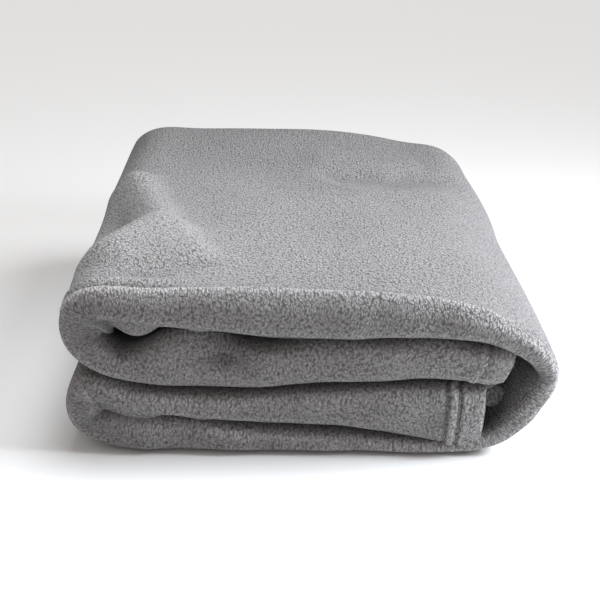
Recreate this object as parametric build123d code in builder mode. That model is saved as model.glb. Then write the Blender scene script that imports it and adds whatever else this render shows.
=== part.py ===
"""A fleece throw, folded to a four-ply strip, with both ends turned in and closed like a book.

The throw is one hemmed sheet of cloth. Its width is folded into four plies, which makes a long
strip with a closed fold along the front. From its lower free end the strip runs to the left,
round the lower turn, along the bottom, up round the spine, back along the top, round the upper
turn and in to its upper free end. The cloth is cut into stretches where it bends.

Frame: +X towards the spine, -Y towards the front folds, +Z up. The origin is the middle of the
stack's footprint, on the surface that it lies on. Sizes are in millimetres.
"""

import os
from math import cos, radians, sin

from build123d import *

# The folded stack.
STACK_WIDTH = 320.0
STACK_DEPTH = 376.0
TURN_CORE = 3.9  # free radius left inside each turn at the left
BOOK_GAP = 0.4  # free height between the two closed halves
LOWER_FLAP_REACH = 10.0  # how far the lower free end goes past the spine's centre
UPPER_FLAP_REACH = 17.0  # how far the upper free end goes past it

# The cloth, its hem and the hem's two rows of stitches.
CLOTH = 4.4  # thickness of the fleece, with its pile
HEM_WIDTH = 27.0
HEM_EXTRA = 1.2  # what the sewn-down turning adds to the cloth's thickness
HEM_CLEARANCE = 0.4  # free height between two hems that face each other
STITCH_ROWS = (16.5, 25.0)  # from the hem's edge to the middle of each row
THREAD_WIDTH = 0.8
THREAD_THICKNESS = 0.4
GROOVE_WIDTH = 1.0
GROOVE_DEPTH = 0.5

# How the four plies lie behind one another.
INNER_FOLD_RECESS = 6.0  # from the outer front fold's centre back to the inner one's
OUTER_EDGE_RECESS = 12.0  # from the back fold in to the hem of the innermost ply
INNER_EDGE_RECESS = 18.0  # from the back fold in to the hem of the ply beside it

# The spine unrolls at two hinges, this far round from the bottom and from the top.
SPINE_HINGE_ANGLE = 45.0

# The strip's section, worked out. Heights are from the strip's outer face inwards.
PLY_PITCH = CLOTH + 2 * HEM_EXTRA + HEM_CLEARANCE
STRIP = 3 * PLY_PITCH + CLOTH
PLY_1, PLY_2, PLY_3, PLY_4 = (CLOTH / 2 + n * PLY_PITCH for n in range(4))
OUTER_FOLD_RADIUS = (PLY_4 - PLY_1) / 2
INNER_FOLD_RADIUS = (PLY_3 - PLY_2) / 2
BACK_FOLD_RADIUS = (PLY_2 - PLY_1) / 2
OUTER_FOLD_Y = -STACK_DEPTH / 2 + OUTER_FOLD_RADIUS + CLOTH / 2
INNER_FOLD_Y = OUTER_FOLD_Y + INNER_FOLD_RECESS
BACK_FOLD_Y = STACK_DEPTH / 2 - BACK_FOLD_RADIUS - CLOTH / 2
OUTER_EDGE_Y = STACK_DEPTH / 2 - OUTER_EDGE_RECESS
INNER_EDGE_Y = STACK_DEPTH / 2 - INNER_EDGE_RECESS

# The strip's path, worked out. Radii are to the strip's outer face.
TURN_RADIUS = STRIP + TURN_CORE
LOWER_HALF_TOP = 2 * TURN_RADIUS
UPPER_HALF_BOTTOM = LOWER_HALF_TOP + BOOK_GAP
STACK_HEIGHT = UPPER_HALF_BOTTOM + 2 * TURN_RADIUS
SPINE_RADIUS = STACK_HEIGHT / 2
TURN_X = -STACK_WIDTH / 2 + TURN_RADIUS
SPINE_X = STACK_WIDTH / 2 - SPINE_RADIUS
LOWER_END_X = SPINE_X + LOWER_FLAP_REACH
UPPER_END_X = SPINE_X + UPPER_FLAP_REACH

# The middle of each bend, as (x, z), and its radius.
LOWER_TURN = (TURN_X, TURN_RADIUS, TURN_RADIUS)
UPPER_TURN = (TURN_X, STACK_HEIGHT - TURN_RADIUS, TURN_RADIUS)
SPINE = (SPINE_X, SPINE_RADIUS, SPINE_RADIUS)

# Headings of the strip in degrees, which grow as it goes round: 0 is towards +X, 90 is up.
RIGHT, LEFT, FULL_CIRCLE = 0.0, 180.0, 360.0

# The free ends, as (x, z of the outer face, heading there, 1 if that heading leads into the
# strip or -1 if it leads out of it).
LOWER_END = (LOWER_END_X, LOWER_HALF_TOP, LEFT, 1)
UPPER_END = (UPPER_END_X, UPPER_HALF_BOTTOM, RIGHT, -1)

# Heights from the hem's middle ply to the face with the needle threads and the looper threads.
NEEDLE_FACE = -CLOTH / 2
LOOPER_FACE = CLOTH / 2 + HEM_EXTRA
THREAD_DEPTH = GROOVE_DEPTH - THREAD_THICKNESS / 2


def station(x, z, heading):
    """The plane across the strip where its outer face passes (x, z) with this heading.

    The plane's own x runs to the back of the stack, and its own y from the outer face inwards.
    """
    along = (cos(radians(heading)), 0, sin(radians(heading)))
    return Plane(origin=(x, 0, z), x_dir=(0, 1, 0), z_dir=along)


def station_on_bend(bend, heading):
    """The plane across the strip where it has turned to this heading in a bend."""
    x, z, radius = bend
    turned = radians(heading)
    return station(x + radius * sin(turned), z - radius * cos(turned), heading)


def ply_run(shift=0.0):
    """The cloth's line across the strip from hem to hem, moved over to its turned-hem side.

    It starts at the innermost ply's hem, passes the outer front fold, the outermost ply, the
    back fold, the second ply and the inner front fold, and ends at the third ply's hem.
    """
    with BuildLine() as run:
        Line((OUTER_EDGE_Y, PLY_4 - shift), (OUTER_FOLD_Y, PLY_4 - shift))
        outer_centre = (OUTER_FOLD_Y, (PLY_1 + PLY_4) / 2)
        CenterArc(outer_centre, OUTER_FOLD_RADIUS - shift, 90, 180)
        Line((OUTER_FOLD_Y, PLY_1 + shift), (BACK_FOLD_Y, PLY_1 + shift))
        back_centre = (BACK_FOLD_Y, (PLY_1 + PLY_2) / 2)
        CenterArc(back_centre, BACK_FOLD_RADIUS - shift, -90, 180)
        Line((BACK_FOLD_Y, PLY_2 - shift), (INNER_FOLD_Y, PLY_2 - shift))
        inner_centre = (INNER_FOLD_Y, (PLY_2 + PLY_3) / 2)
        CenterArc(inner_centre, INNER_FOLD_RADIUS + shift, -90, -180)
        Line((INNER_FOLD_Y, PLY_3 + shift), (INNER_EDGE_Y, PLY_3 + shift))
    return run.line


def side_hems():
    """(edge, middle of the cloth, side) of the two long hems.

    The side is the way in which the hem is turned: 1 is inwards in the strip and -1 outwards.
    """
    return ((OUTER_EDGE_Y, PLY_4, -1), (INNER_EDGE_Y, PLY_3, 1))


def side_rows():
    """(place, face, side) of each stitch row that shows on either face of the long hems."""
    rows = []
    for edge, middle, side in side_hems():
        for inset in STITCH_ROWS:
            rows.append((edge - inset, middle + side * (CLOTH / 2 + HEM_EXTRA), side))
            rows.append((edge - inset, middle - side * CLOTH / 2, -side))
    return rows


def cloth_section(plane):
    """The four plies, thicker along both long hems, with a groove for each stitch row."""
    with BuildSketch(plane) as section:
        trace(ply_run(), line_width=CLOTH)
        for edge, middle, side in side_hems():
            with Locations((edge - HEM_WIDTH / 2, middle + side * (CLOTH + HEM_EXTRA) / 2)):
                Rectangle(HEM_WIDTH, HEM_EXTRA)
        for place, face, side in side_rows():
            with Locations((place, face - side * GROOVE_DEPTH / 2)):
                Rectangle(GROOVE_WIDTH, GROOVE_DEPTH, mode=Mode.SUBTRACT)
    return section.sketch


def side_thread_section(plane):
    """The thread of each row of the long hems, lying at the bottom of its groove."""
    with BuildSketch(plane) as section:
        for place, face, side in side_rows():
            with Locations((place, face - side * (GROOVE_DEPTH - THREAD_THICKNESS / 2))):
                Rectangle(THREAD_WIDTH, THREAD_THICKNESS)
    return section.sketch


def straight(section_at, x_from, x_to, z, heading):
    """Adds a flat stretch of the strip, from one place to another, to the open part."""
    extrude(section_at(station(x_from, z, heading)), amount=abs(x_to - x_from))


def bent(section_at, bend, heading_from, heading_to):
    """Adds a stretch of the strip round a bend, between two headings, to the open part."""
    x, z, _ = bend
    section = section_at(station_on_bend(bend, heading_from))
    revolve(section, Axis((x, 0, z), (0, -1, 0)), heading_to - heading_from)


def end_band(end, shift, thickness, near, far, mode=Mode.ADD):
    """Adds to the open part, or cuts from it, a band of the strip along one of its free ends.

    The band follows the plies in a layer of the given thickness, whose middle is shifted from
    the cloth's, and reaches from one distance behind the free end to another.
    """
    x, z, heading, inwards = end
    with BuildSketch(station(x - near, z, heading)) as section:
        trace(ply_run(shift), line_width=thickness)
    extrude(section.sketch, amount=inwards * (far - near), mode=mode)


def end_hem(end):
    """Adds the turned hem across a free end, grooved by its stitch rows, to the open part."""
    end_band(end, HEM_EXTRA / 2, CLOTH + HEM_EXTRA, 0, HEM_WIDTH)
    for groove in (NEEDLE_FACE + GROOVE_DEPTH / 2, LOOPER_FACE - GROOVE_DEPTH / 2):
        for row in STITCH_ROWS:
            near, far = row - GROOVE_WIDTH / 2, row + GROOVE_WIDTH / 2
            end_band(end, groove, GROOVE_DEPTH, near, far, Mode.SUBTRACT)


def end_threads(end, shift):
    """Adds the threads that lie on one face of a free end's hem to the open part."""
    for row in STITCH_ROWS:
        near, far = row - THREAD_WIDTH / 2, row + THREAD_WIDTH / 2
        end_band(end, shift, THREAD_THICKNESS, near, far)


def lower_flap_run(section_at):
    """Adds the lower flap, up to its end hem, to the open part."""
    straight(section_at, LOWER_END_X - HEM_WIDTH, TURN_X, LOWER_HALF_TOP, LEFT)


def upper_flap_run(section_at):
    """Adds the upper flap, up to its end hem, to the open part."""
    straight(section_at, TURN_X, UPPER_END_X - HEM_WIDTH, UPPER_HALF_BOTTOM, RIGHT)


os.makedirs("parts", exist_ok=True)

# The cloth, from the lower free end to the upper one.
with BuildPart() as lower_end_hem:
    end_hem(LOWER_END)

with BuildPart() as lower_flap:
    lower_flap_run(cloth_section)

with BuildPart() as lower_turn:
    bent(cloth_section, LOWER_TURN, LEFT, FULL_CIRCLE)

with BuildPart() as bottom_panel:
    straight(cloth_section, TURN_X, SPINE_X, 0, RIGHT)

with BuildPart() as lower_spine_bend:
    bent(cloth_section, SPINE, RIGHT, SPINE_HINGE_ANGLE)

with BuildPart() as spine_bend:
    bent(cloth_section, SPINE, SPINE_HINGE_ANGLE, LEFT - SPINE_HINGE_ANGLE)

with BuildPart() as upper_spine_bend:
    bent(cloth_section, SPINE, LEFT - SPINE_HINGE_ANGLE, LEFT)

with BuildPart() as top_panel:
    straight(cloth_section, SPINE_X, TURN_X, STACK_HEIGHT, LEFT)

with BuildPart() as upper_turn:
    bent(cloth_section, UPPER_TURN, LEFT, FULL_CIRCLE)

with BuildPart() as upper_flap:
    upper_flap_run(cloth_section)

with BuildPart() as upper_end_hem:
    end_hem(UPPER_END)

# The threads of the long hems, joined up as far as the cloth moves as one.
with BuildPart() as lower_side_threads:
    lower_flap_run(side_thread_section)
    bent(side_thread_section, LOWER_TURN, LEFT, FULL_CIRCLE)
    straight(side_thread_section, TURN_X, SPINE_X, 0, RIGHT)
    bent(side_thread_section, SPINE, RIGHT, SPINE_HINGE_ANGLE)

with BuildPart() as spine_side_threads:
    bent(side_thread_section, SPINE, SPINE_HINGE_ANGLE, LEFT - SPINE_HINGE_ANGLE)

with BuildPart() as upper_side_threads:
    bent(side_thread_section, SPINE, LEFT - SPINE_HINGE_ANGLE, LEFT)
    straight(side_thread_section, SPINE_X, TURN_X, STACK_HEIGHT, LEFT)
    bent(side_thread_section, UPPER_TURN, LEFT, FULL_CIRCLE)
    upper_flap_run(side_thread_section)

# The threads of the hems across the free ends.
with BuildPart() as lower_end_needle_threads:
    end_threads(LOWER_END, NEEDLE_FACE + THREAD_DEPTH)

with BuildPart() as lower_end_looper_threads:
    end_threads(LOWER_END, LOOPER_FACE - THREAD_DEPTH)

with BuildPart() as upper_end_needle_threads:
    end_threads(UPPER_END, NEEDLE_FACE + THREAD_DEPTH)

with BuildPart() as upper_end_looper_threads:
    end_threads(UPPER_END, LOOPER_FACE - THREAD_DEPTH)

PIECES = {
    "lower_end_hem": lower_end_hem,
    "lower_flap": lower_flap,
    "lower_turn": lower_turn,
    "bottom_panel": bottom_panel,
    "lower_spine_bend": lower_spine_bend,
    "spine_bend": spine_bend,
    "upper_spine_bend": upper_spine_bend,
    "top_panel": top_panel,
    "upper_turn": upper_turn,
    "upper_flap": upper_flap,
    "upper_end_hem": upper_end_hem,
    "lower_side_hem_threads": lower_side_threads,
    "spine_side_hem_threads": spine_side_threads,
    "upper_side_hem_threads": upper_side_threads,
    "lower_end_hem_needle_threads": lower_end_needle_threads,
    "lower_end_hem_looper_threads": lower_end_looper_threads,
    "upper_end_hem_needle_threads": upper_end_needle_threads,
    "upper_end_hem_looper_threads": upper_end_looper_threads,
}
for name, piece in PIECES.items():
    piece.part.label = name
    export_step(piece.part, f"parts/{name}.step")
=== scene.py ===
"""The looks of a folded fleece throw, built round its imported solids.

The throw is one sheet of fleece. Across, it is folded into four plies, which makes a long strip
with a closed lip in front. Along, the strip runs from the lower free end round the lower turn,
along the bottom, round the spine, back along the top, round the upper turn and in to the upper
free end. Every point of the cloth is a place along the strip, a place across its plies and a
height in the cloth's thickness, and one class turns those three into a point in space.

Sizes are in metres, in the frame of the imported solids.
"""

from dataclasses import dataclass
from enum import Enum
import logging
import math

import bpy
import numpy as np
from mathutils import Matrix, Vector

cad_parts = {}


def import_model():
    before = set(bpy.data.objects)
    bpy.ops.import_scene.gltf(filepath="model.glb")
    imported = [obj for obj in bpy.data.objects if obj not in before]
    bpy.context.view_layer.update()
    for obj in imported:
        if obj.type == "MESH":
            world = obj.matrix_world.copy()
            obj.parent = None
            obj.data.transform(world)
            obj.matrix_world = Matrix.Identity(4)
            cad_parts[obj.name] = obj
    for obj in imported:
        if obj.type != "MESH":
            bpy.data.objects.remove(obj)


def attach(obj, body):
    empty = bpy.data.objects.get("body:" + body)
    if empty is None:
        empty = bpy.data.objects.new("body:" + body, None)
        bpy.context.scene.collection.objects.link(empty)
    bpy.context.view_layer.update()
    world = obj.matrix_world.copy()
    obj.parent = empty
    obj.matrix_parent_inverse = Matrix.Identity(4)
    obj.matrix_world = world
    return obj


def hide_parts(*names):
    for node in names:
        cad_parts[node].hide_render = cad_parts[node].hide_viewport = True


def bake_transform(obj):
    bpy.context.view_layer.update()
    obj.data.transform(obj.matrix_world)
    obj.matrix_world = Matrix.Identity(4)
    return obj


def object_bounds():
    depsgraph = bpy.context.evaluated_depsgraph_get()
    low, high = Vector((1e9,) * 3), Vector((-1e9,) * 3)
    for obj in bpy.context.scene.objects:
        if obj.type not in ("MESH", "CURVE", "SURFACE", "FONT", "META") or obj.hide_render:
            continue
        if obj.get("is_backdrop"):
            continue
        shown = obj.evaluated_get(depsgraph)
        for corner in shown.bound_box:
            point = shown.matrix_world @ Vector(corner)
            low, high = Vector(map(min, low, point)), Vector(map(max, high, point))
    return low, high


MM = 0.001
LOG = logging.getLogger("folded_throw")

Array = np.ndarray
Colour = tuple[float, float, float, float]

CLOTH_MAP = "cloth"  # the UV map with the sheet's flat coordinates
PAINTED_SHADING = "painted_shading"  # the attribute of painted shade in creases and painted highlight on ridges and edges


class Body(Enum):
    """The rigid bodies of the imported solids."""

    LOWER = "lower_half"
    SPINE = "spine"
    UPPER = "upper_half"


class Slot(Enum):
    """The material slots of the record."""

    FLEECE = "fleece"
    HEM = "fleece_hem"
    THREAD = "hem_thread"


def smooth(value: Array, low: float = 0.0, high: float = 1.0) -> Array:
    """Rises smoothly from 0 to 1 between two limits.

    Args:
        value: where to read the rise.
        low: the limit where it starts.
        high: the limit where it ends, which may be below low for a fall.

    Returns:
        The height of the rise at each value.
    """
    share = np.clip((value - low) / (high - low), 0.0, 1.0)
    return share * share * (3.0 - 2.0 * share)


def bell(value: Array, middle: float, width: float) -> Array:
    """A bump of height 1 round a middle, which has fallen to 0.37 at its width."""
    return np.exp(-(((value - middle) / width) ** 2))


def wavy(x: Array, y: Array, wavelength: float, seed: int, terms: int = 9) -> Array:
    """A gentle irregular swell made of a few plane waves.

    Args:
        x: first coordinate.
        y: second coordinate.
        wavelength: the typical distance between two crests.
        seed: fixes the directions and phases.
        terms: how many waves are added.

    Returns:
        The swell, mostly between -1 and 1.
    """
    draw = np.random.default_rng(seed)
    total = np.zeros(np.broadcast(x, y).shape)
    for _ in range(terms):
        turn = draw.uniform(0.0, math.tau)
        pitch = math.tau / (wavelength * draw.uniform(0.7, 1.5))
        phase = draw.uniform(0.0, math.tau)
        total = total + np.sin(pitch * (x * math.cos(turn) + y * math.sin(turn)) + phase)
    return total / math.sqrt(2.0 * terms)

@dataclass(frozen=True)
class Rise:
    """A smooth rise from 0 at low to 1 at high, which are in millimetres unless unit says else."""

    low: float
    high: float
    unit: float = MM

    def at(self, value: Array) -> Array:
        """Its height at each value."""
        return smooth(value, self.low * self.unit, self.high * self.unit)


@dataclass(frozen=True)
class Bump:
    """A bump, with its middle, its width and its height in millimetres."""

    middle: float
    width: float
    height: float

    def at(self, value: Array) -> Array:
        """Its height at each value, both in metres."""
        return self.height * MM * bell(value, self.middle * MM, self.width * MM)


@dataclass(frozen=True)
class Swell:
    """An irregular swell, with its height and wavelength in millimetres."""

    height: float
    wavelength: float
    seed: int
    terms: int = 9

    def at(self, x: Array, y: Array) -> Array:
        """Its height at each place, all in metres."""
        return self.height * MM * wavy(x, y, self.wavelength * MM, self.seed, self.terms)


def put(name: str, data: bpy.types.ID) -> bpy.types.Object:
    """Puts new data into the scene as an object.

    Args:
        name: the object's name.
        data: its mesh, lamp or camera.

    Returns:
        The object.
    """
    made = bpy.data.objects.new(name, data)
    bpy.context.collection.objects.link(made)
    return made


@dataclass(frozen=True)
class Station:
    """A place on the strip's outer face, seen from the front, and how thick the strip is there.

    Args:
        x: distance to the right of the stack's middle, in millimetres.
        z: height above the surface that the stack lies on, in millimetres.
        loft: thickness of the strip at its front lip, in millimetres.
        core: thickness of the strip further in, in millimetres.
        recess: how far the lip stays behind the foremost one, in millimetres.
    """

    x: float
    z: float
    loft: float
    core: float
    recess: float


LOWER_FLAP = (
    Station(113, 48.5, 43, 25, 4), Station(106, 49, 44, 25, 1), Station(88, 50, 43, 26, 0),
    Station(60, 50, 37, 26, 0), Station(20, 48, 29, 25, 1), Station(-30, 44.5, 23, 24, 2),
    Station(-75, 44, 19, 22, 3), Station(-112, 48, 18.5, 20, 4), Station(-135, 55, 21, 20, 5),
)
LOWER_TURN = (
    Station(-148, 56, 23, 20, 6), Station(-156, 45, 25, 20, 6), Station(-159, 31, 26, 20, 6),
    Station(-155, 17, 26, 20, 6), Station(-142, 6, 27, 20, 5),
)
BOTTOM = (
    Station(-122, 0.8, 28, 21, 4), Station(-90, 0.6, 26, 20, 3), Station(-50, 0.6, 21, 20, 3),
    Station(0, 0.6, 17, 20, 3), Station(60, 0.6, 12, 19, 3), Station(98, 1, 11, 19, 3),
)
SPINE = (
    Station(122, 6, 14, 20, 3), Station(142, 21, 17, 20, 3), Station(154, 40, 16, 20, 3),
    Station(159, 58, 15, 20, 3), Station(153, 73, 16, 21, 2), Station(138, 87, 18, 23, 1),
    Station(118, 97, 19, 26, 0),
)
TOP = (
    Station(90, 105, 23, 30, 0), Station(50, 111, 28, 33, 0), Station(0, 113.5, 31, 36, 0),
    Station(-60, 114, 27, 34, 0), Station(-110, 115, 22, 25, 1), Station(-138, 115, 22, 20, 2),
)
UPPER_TURN = (
    Station(-153, 106, 25, 18, 4), Station(-159, 90, 27, 18, 6), Station(-156, 74, 27, 18, 6),
    Station(-145, 62, 24, 18, 5),
)
UPPER_FLAP = (
    Station(-120, 51.5, 22, 18, 4), Station(-100, 48, 34, 23, 3), Station(-80, 46.5, 42, 29, 3),
    Station(-45, 46, 32, 29, 3), Station(5, 49.5, 31, 28, 3), Station(50, 51.5, 30, 28, 3),
    Station(85, 52.5, 29, 28, 3), Station(104, 50.5, 27, 26, 3), Station(116, 49.5, 27, 24, 3),
    Station(124, 49.5, 25, 23, 6),
)


class SmoothLine:
    """A natural cubic spline through a list of rows of numbers, read by distance along it."""

    SAMPLES = 6000  # points that the length is measured with
    STEP = 1e-4  # over which the slope at an end is read

    def __init__(self, rows: Array, plane: tuple[int, int]) -> None:
        """Fits the spline.

        Args:
            rows: the numbers that it passes through, one row for each knot.
            plane: the two columns that are a place, whose distance is the spline's length.
        """
        self.knots = self._walked(rows[:, plane])
        self.rows = rows
        self.bends = self._second_derivatives()
        fine = np.linspace(0.0, self.knots[-1], self.SAMPLES)
        self.fine, self.lengths = fine, self._walked(self._read(fine)[:, plane])

    @staticmethod
    def _walked(path: Array) -> Array:
        """The distance walked along a path up to each of its points."""
        steps = np.linalg.norm(np.diff(path, axis=0), axis=1)
        return np.concatenate([[0.0], np.cumsum(steps)])

    def _second_derivatives(self) -> Array:
        """Solves for the second derivative at each knot, which is 0 at both ends."""
        gaps = np.diff(self.knots)
        slopes = np.diff(self.rows, axis=0) / gaps[:, None]
        count = len(self.knots)
        matrix = np.eye(count)
        right = np.zeros_like(self.rows)
        for k in range(1, count - 1):
            matrix[k, k - 1 : k + 2] = gaps[k - 1], 2 * (gaps[k - 1] + gaps[k]), gaps[k]
            right[k] = 6 * (slopes[k] - slopes[k - 1])
        return np.linalg.solve(matrix, right)

    def _read(self, place: Array) -> Array:
        """The spline at these values of its own parameter."""
        k = np.clip(np.searchsorted(self.knots, place, "right") - 1, 0, len(self.knots) - 2)
        gap = (self.knots[k + 1] - self.knots[k])[..., None]
        after = (place[..., None] - self.knots[k][..., None]) / gap
        before = 1.0 - after
        curve = (before**3 - before) * self.bends[k] + (after**3 - after) * self.bends[k + 1]
        return before * self.rows[k] + after * self.rows[k + 1] + curve * gap**2 / 6.0

    @property
    def length(self) -> float:
        """The whole length along the line."""
        return float(self.lengths[-1])

    def at(self, distance: Array) -> Array:
        """The rows at these distances along the line, carried straight on past its ends."""
        inside = np.clip(distance, 0.0, self.length)
        rows = self._read(np.interp(inside, self.lengths, self.fine))
        nudge = np.where(distance < 0.0, self.STEP, -self.STEP)
        beside = self._read(np.interp(inside + nudge, self.lengths, self.fine))
        slope = (beside - rows) / nudge[..., None]
        return rows + slope * (distance - inside)[..., None]


class StripRoute:
    """The strip's route round the stack, as seen from the front."""

    HEADING_SPAN = 9 * MM  # over which the plies round off a corner of the outer face
    SAMPLES = 3000  # points that the heading is kept at

    def __init__(self, low: Vector, high: Vector) -> None:
        """Strings the stations together inside the stack's box.

        Args:
            low: the box's lowest corner.
            high: its highest corner.
        """
        self.stretches = (LOWER_FLAP, LOWER_TURN, BOTTOM, SPINE, TOP, UPPER_TURN, UPPER_FLAP)
        stations = [s for stretch in self.stretches for s in stretch]
        rows = np.array([(s.x, s.z, s.loft, s.core, s.recess) for s in stations]) * MM
        rows[:, 0] += 0.5 * (low.x + high.x)
        rows[:, 1] += low.z
        self.line = SmoothLine(rows, (0, 1))
        self.knot_lengths = np.interp(self.line.knots, self.line.fine, self.line.lengths)
        self.distances = np.linspace(0.0, self.line.length, self.SAMPLES)
        path = self.line.at(self.distances)
        run, rise = np.gradient(path[:, 0]), np.gradient(path[:, 1])
        self.headings = self._soften(np.unwrap(np.arctan2(rise, run)))

    def _soften(self, heading: Array) -> Array:
        """Evens the heading out along the route, so that neighbouring plies don't cross."""
        step = self.distances[1] - self.distances[0]
        reach = int(3 * self.HEADING_SPAN / step)
        kernel = bell(np.arange(-reach, reach + 1) * step, 0.0, self.HEADING_SPAN)
        padded = np.pad(heading, reach, mode="edge")
        return np.convolve(padded, kernel / kernel.sum(), mode="valid")

    @property
    def length(self) -> float:
        """The route's whole length."""
        return self.line.length

    def station_length(self, stretch: int, index: int) -> float:
        """The distance along the route of one station of a stretch."""
        before = sum(len(s) for s in self.stretches[:stretch])
        return float(self.knot_lengths[before + index])

    def read(self, distance: Array) -> dict[str, Array]:
        """The outer face's place, heading, loft, core and recess at distances along the route."""
        values = np.moveaxis(self.line.at(distance), -1, 0)
        named = dict(zip(("x", "z", "loft", "core", "recess"), values))
        named["heading"] = np.interp(distance, self.distances, self.headings)
        return named


class Ply(Enum):
    """The stretches of the cloth's way across the strip, from the innermost hem to the other."""

    INNERMOST = 0
    FRONT_FOLD = 1
    OUTERMOST = 2
    BACK_FOLD = 3
    SECOND = 4
    INNER_FRONT_FOLD = 5
    THIRD = 6


@dataclass(frozen=True)
class PlyFolds:
    """How the sheet is folded across, into four plies with a closed lip in front.

    Args:
        cloth: thickness of the fleece.
        lip_depth: how far the front lip's rounding reaches back.
        lip_squareness: 2 is a round lip, and more is a squarer one.
        transition: distance behind the lip over which its loft turns into the core's.
        back_recess: how far the back fold stays in front of the box's back.
        inner_recess: how far the two hems stay in front of it.
        inner_fold_recess: how far the inner front fold stays behind the lip's inside.
        rows: how many rows of the grid each ply has.
        hem_rows: how many of them lie on each hem.
        hem: the width that those span.
        ply_length: about how long the ply beside a hem is.
        hem_crowding: how the innermost ply's rows crowd towards the front.
        front_share: the share of the outermost ply's spacing that crowds towards the front.
        front_crowding: how strongly it does.
    """

    cloth: float = 4.2 * MM
    lip_depth: float = 14.0 * MM
    lip_squareness: float = 2.9
    transition: float = 30.0 * MM
    back_recess: float = 2.0 * MM
    inner_recess: float = 9.0 * MM
    inner_fold_recess: float = 12.0 * MM
    rows: tuple[int, ...] = (62, 30, 84, 12, 24, 12, 38)
    hem_rows: int = 18
    hem: float = 28.0 * MM
    ply_length: float = 350.0 * MM
    hem_crowding: float = 1.7
    front_share: float = 0.45
    front_crowding: float = 1.8

    def stations(self) -> tuple[Array, Array]:
        """The ply of each row across the sheet, and how far along that ply the row is.

        Returns:
            The ply numbers and the shares, with rows closer together towards the front.
        """
        plies, shares = [], []
        for ply, count in zip(Ply, self.rows):
            share = (np.arange(count) + 0.5) / count
            if ply is Ply.INNERMOST:
                share = self._beside_hem(count, self.hem_crowding)
            elif ply is Ply.THIRD:
                share = 1.0 - self._beside_hem(count, 1.0)[::-1]
            elif ply is Ply.OUTERMOST:
                crowded = self.front_share * share**self.front_crowding
                share = (1.0 - self.front_share) * share + crowded
            plies.append(np.full(count, ply.value))
            shares.append(share)
        return np.concatenate(plies), np.concatenate(shares)

    def _beside_hem(self, count: int, crowding: float) -> Array:
        """Shares along a ply that starts at a hem, with close rows on the hem.

        Args:
            count: how many rows the ply has.
            crowding: above 1, the rows crowd together at the ply's other end.

        Returns:
            The shares, from 0 at the hem's edge.
        """
        hem_share = self.hem / self.ply_length
        hem = np.linspace(0.0, hem_share, self.hem_rows, endpoint=False)
        rest = np.arange(1, count - self.hem_rows + 1) / (count - self.hem_rows + 0.5)
        rest = 1.0 - (1.0 - rest) ** crowding
        return np.concatenate([hem, hem_share + (1.0 - hem_share) * rest])

    def section(
        self, front: Array, back: Array, loft: Array, core: Array
    ) -> tuple[Array, Array]:
        """Places the middle of the cloth across the strip.

        Args:
            front: the lip's foremost y, one value for each column.
            back: the back fold's rearmost y, likewise.
            loft: thickness of the strip at the lip, likewise.
            core: thickness of the strip further in, likewise.

        Returns:
            y and depth under the outer face, both with a column for each place along the
            strip and a row for each place across it.
        """
        plies, shares = self.stations()
        front, back = front[:, None], back[:, None]
        half = 0.5 * self.cloth
        start = front + half + self.lip_depth
        y = np.zeros((front.shape[0], len(plies)))
        level = np.zeros_like(y)  # 0 at the outermost ply's middle, 1 at the innermost ply's
        pitch = 1.0 / 3.0

        def run(ply: Ply, begin: Array, end: Array, height: float) -> None:
            """Lays one flat ply from begin to end."""
            rows = plies == ply.value
            y[:, rows] = begin + (end - begin) * shares[rows]
            level[:, rows] = height

        def fold(ply: Ply, edge: Array, reach: Array, low: float, high: float, way: int) -> None:
            """Rounds one fold between two levels, with its tip at edge."""
            rows = plies == ply.value
            turn = math.pi * shares[rows]
            power = 2.0 / self.lip_squareness if ply is Ply.FRONT_FOLD else 1.0
            out = np.abs(np.sin(turn)) ** power
            side = np.sign(np.cos(turn)) * np.abs(np.cos(turn)) ** power
            y[:, rows] = edge + way * reach * (1.0 - out)
            level[:, rows] = 0.5 * (low + high) + 0.5 * (low - high) * side

        small = 0.5 * pitch * (core[:, None] - self.cloth)
        rear = back - self.back_recess - half
        inner = start + self.inner_fold_recess
        hem = back - self.inner_recess - half
        run(Ply.INNERMOST, hem, start, 1.0)
        fold(Ply.FRONT_FOLD, front + half, self.lip_depth, 1.0, 0.0, 1)
        run(Ply.OUTERMOST, start, rear - small, 0.0)
        fold(Ply.BACK_FOLD, rear, small, 0.0, pitch, -1)
        run(Ply.SECOND, rear - small, inner + small, pitch)
        fold(Ply.INNER_FRONT_FOLD, inner, small, pitch, 2.0 * pitch, 1)
        run(Ply.THIRD, inner + small, hem, 2.0 * pitch)
        lip = 1.0 - smooth(y, start, start + self.transition)
        thickness = core[:, None] + (loft - core)[:, None] * lip
        return y, half + level * (thickness - self.cloth)


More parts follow.
